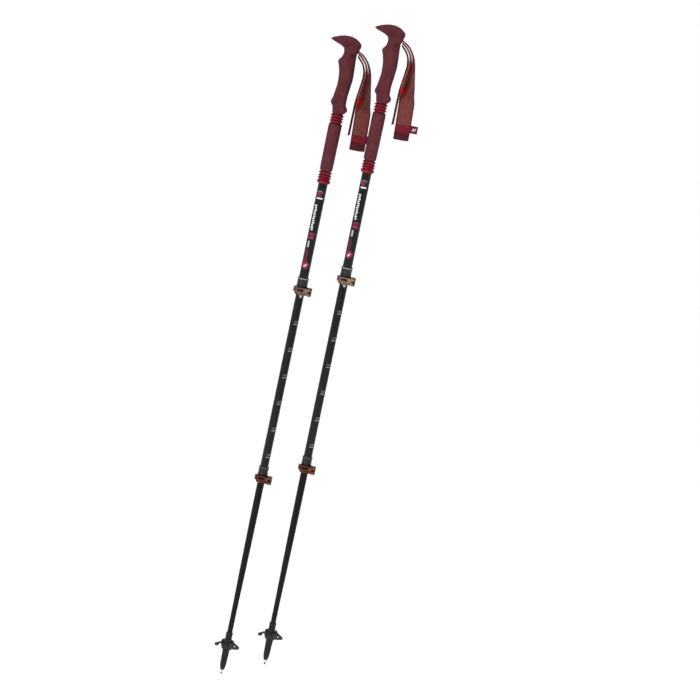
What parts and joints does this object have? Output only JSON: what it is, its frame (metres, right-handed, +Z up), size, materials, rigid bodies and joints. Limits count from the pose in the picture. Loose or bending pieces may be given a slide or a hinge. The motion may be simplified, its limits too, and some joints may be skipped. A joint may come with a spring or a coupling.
{
  "type": "trekking poles",
  "caption": "Pair of telescoping carbon trekking poles with horned foam grips, wrist straps, lever locks, trail baskets and carbide tips.",
  "frame": {"origin": "on the left pole's axis at the middle of its main grip, where the palm holds it, 1110 mm above the end of that pole's tip", "axes": "+Z up along both poles, towards the grips; +X from the left pole towards the right pole and the way the straps leave the grips; the grips' horns point to -X; the lock levers face -Y"},
  "size_m": [0.1872, 0.0838, 1.238],
  "materials": {
    "foam": "matte closed-cell foam",
    "rubber": "satin moulded rubber",
    "carbon": "satin-clear lacquer over carbon fibre",
    "nylon": "matte moulded nylon",
    "anodised": "satin copper-brown anodising",
    "steel": "satin",
    "carbide": "sintered grey",
    "pad_fabric": "brushed woven facing over thin foam",
    "webbing": "woven tape",
    "label": "woven label tab"
  },
  "bodies": {
    "left_upper": {"left_grip_foam": "foam", "left_upper_ribs": "rubber", "left_grip_extension": "foam", "left_lower_ribs": "rubber", "left_upper_shaft": "carbon", "left_strap_block": "nylon", "left_strap_pin": "steel", "left_strap_anchor": "webbing", "left_upper_collar": "nylon", "left_upper_clamp": "anodised", "left_upper_cam_pin": "steel"},
    "left_wedge": {"left_strap_wedge": "nylon"},
    "left_strap": {"left_strap_pad": "pad_fabric", "left_strap_webbing": "webbing", "left_strap_label": "label"},
    "left_upper_lever": {"left_upper_lever": "anodised"},
    "left_upper_screw": {"left_upper_screw": "steel"},
    "left_middle": {"left_middle_shaft": "carbon", "left_middle_plug": "nylon", "left_lower_collar": "nylon", "left_lower_clamp": "anodised", "left_lower_cam_pin": "steel"},
    "left_lower_lever": {"left_lower_lever": "anodised"},
    "left_lower_screw": {"left_lower_screw": "steel"},
    "left_lower": {"left_lower_shaft": "carbon", "left_lower_plug": "nylon", "left_tip_ferrule": "nylon", "left_tip_holder": "steel", "left_carbide_tip": "carbide"},
    "left_basket": {"left_basket": "nylon"},
    "right_upper": {"right_grip_foam": "foam", "right_upper_ribs": "rubber", "right_grip_extension": "foam", "right_lower_ribs": "rubber", "right_upper_shaft": "carbon", "right_strap_block": "nylon", "right_strap_pin": "steel", "right_strap_anchor": "webbing", "right_upper_collar": "nylon", "right_upper_clamp": "anodised", "right_upper_cam_pin": "steel"},
    "right_wedge": {"right_strap_wedge": "nylon"},
    "right_strap": {"right_strap_pad": "pad_fabric", "right_strap_webbing": "webbing", "right_strap_label": "label"},
    "right_upper_lever": {"right_upper_lever": "anodised"},
    "right_upper_screw": {"right_upper_screw": "steel"},
    "right_middle": {"right_middle_shaft": "carbon", "right_middle_plug": "nylon", "right_lower_collar": "nylon", "right_lower_clamp": "anodised", "right_lower_cam_pin": "steel"},
    "right_lower_lever": {"right_lower_lever": "anodised"},
    "right_lower_screw": {"right_lower_screw": "steel"},
    "right_lower": {"right_lower_shaft": "carbon", "right_lower_plug": "nylon", "right_tip_ferrule": "nylon", "right_tip_holder": "steel", "right_carbide_tip": "carbide"},
    "right_basket": {"right_basket": "nylon"}
  },
  "joints": [
    {"name": "poles_apart", "type": "slide", "parent": "left_upper", "child": "right_upper", "axis": [1, 0, 0], "range_m": [0, 0.3]},
    {"name": "left_upper_length", "type": "slide", "parent": "left_upper", "child": "left_middle", "axis": [0, 0, 1], "range_m": [0, 0.3]},
    {"name": "left_lower_length", "type": "slide", "parent": "left_middle", "child": "left_lower", "axis": [0, 0, 1], "range_m": [0, 0.27]},
    {"name": "left_upper_lever_swing", "type": "hinge", "parent": "left_upper", "child": "left_upper_lever", "pos_m": [0.0157, -0.0089, -0.387], "axis": [0, 0, 1], "range_deg": [0, 150]},
    {"name": "left_lower_lever_swing", "type": "hinge", "parent": "left_middle", "child": "left_lower_lever", "pos_m": [0.0147, -0.0089, -0.741], "axis": [0, 0, 1], "range_deg": [0, 150]},
    {"name": "left_upper_screw_turn", "type": "hinge", "parent": "left_upper", "child": "left_upper_screw", "pos_m": [0.0157, 0, -0.387], "axis": [0, 1, 0], "continuous": true},
    {"name": "left_lower_screw_turn", "type": "hinge", "parent": "left_middle", "child": "left_lower_screw", "pos_m": [0.0147, 0, -0.741], "axis": [0, 1, 0], "continuous": true},
    {"name": "left_strap_swing", "type": "hinge", "parent": "left_upper", "child": "left_strap", "pos_m": [0.0155, 0, 0.0615], "axis": [0, -1, 0], "range_deg": [0, 70]},
    {"name": "left_wedge_slide", "type": "slide", "parent": "left_upper", "child": "left_wedge", "axis": [1, 0, 0], "range_m": [0, 0.0028]},
    {"name": "left_basket_turn", "type": "hinge", "parent": "left_lower", "child": "left_basket", "pos_m": [0, 0, -1.054], "axis": [0, 0, 1], "continuous": true},
    {"name": "right_upper_length", "type": "slide", "parent": "right_upper", "child": "right_middle", "axis": [0, 0, 1], "range_m": [0, 0.3]},
    {"name": "right_lower_length", "type": "slide", "parent": "right_middle", "child": "right_lower", "axis": [0, 0, 1], "range_m": [0, 0.27]},
    {"name": "right_upper_lever_swing", "type": "hinge", "parent": "right_upper", "child": "right_upper_lever", "pos_m": [0.0897, -0.0489, -0.346], "axis": [0, 0, 1], "range_deg": [0, 150]},
    {"name": "right_lower_lever_swing", "type": "hinge", "parent": "right_middle", "child": "right_lower_lever", "pos_m": [0.0887, -0.0489, -0.7], "axis": [0, 0, 1], "range_deg": [0, 150]},
    {"name": "right_upper_screw_turn", "type": "hinge", "parent": "right_upper", "child": "right_upper_screw", "pos_m": [0.0897, -0.04, -0.346], "axis": [0, 1, 0], "continuous": true},
    {"name": "right_lower_screw_turn", "type": "hinge", "parent": "right_middle", "child": "right_lower_screw", "pos_m": [0.0887, -0.04, -0.7], "axis": [0, 1, 0], "continuous": true},
    {"name": "right_strap_swing", "type": "hinge", "parent": "right_upper", "child": "right_strap", "pos_m": [0.0895, -0.04, 0.1025], "axis": [0, -1, 0], "range_deg": [0, 70]},
    {"name": "right_wedge_slide", "type": "slide", "parent": "right_upper", "child": "right_wedge", "axis": [1, 0, 0], "range_m": [0, 0.0028]},
    {"name": "right_basket_turn", "type": "hinge", "parent": "right_lower", "child": "right_basket", "pos_m": [0.074, -0.04, -1.013], "axis": [0, 0, 1], "continuous": true}
  ]
}
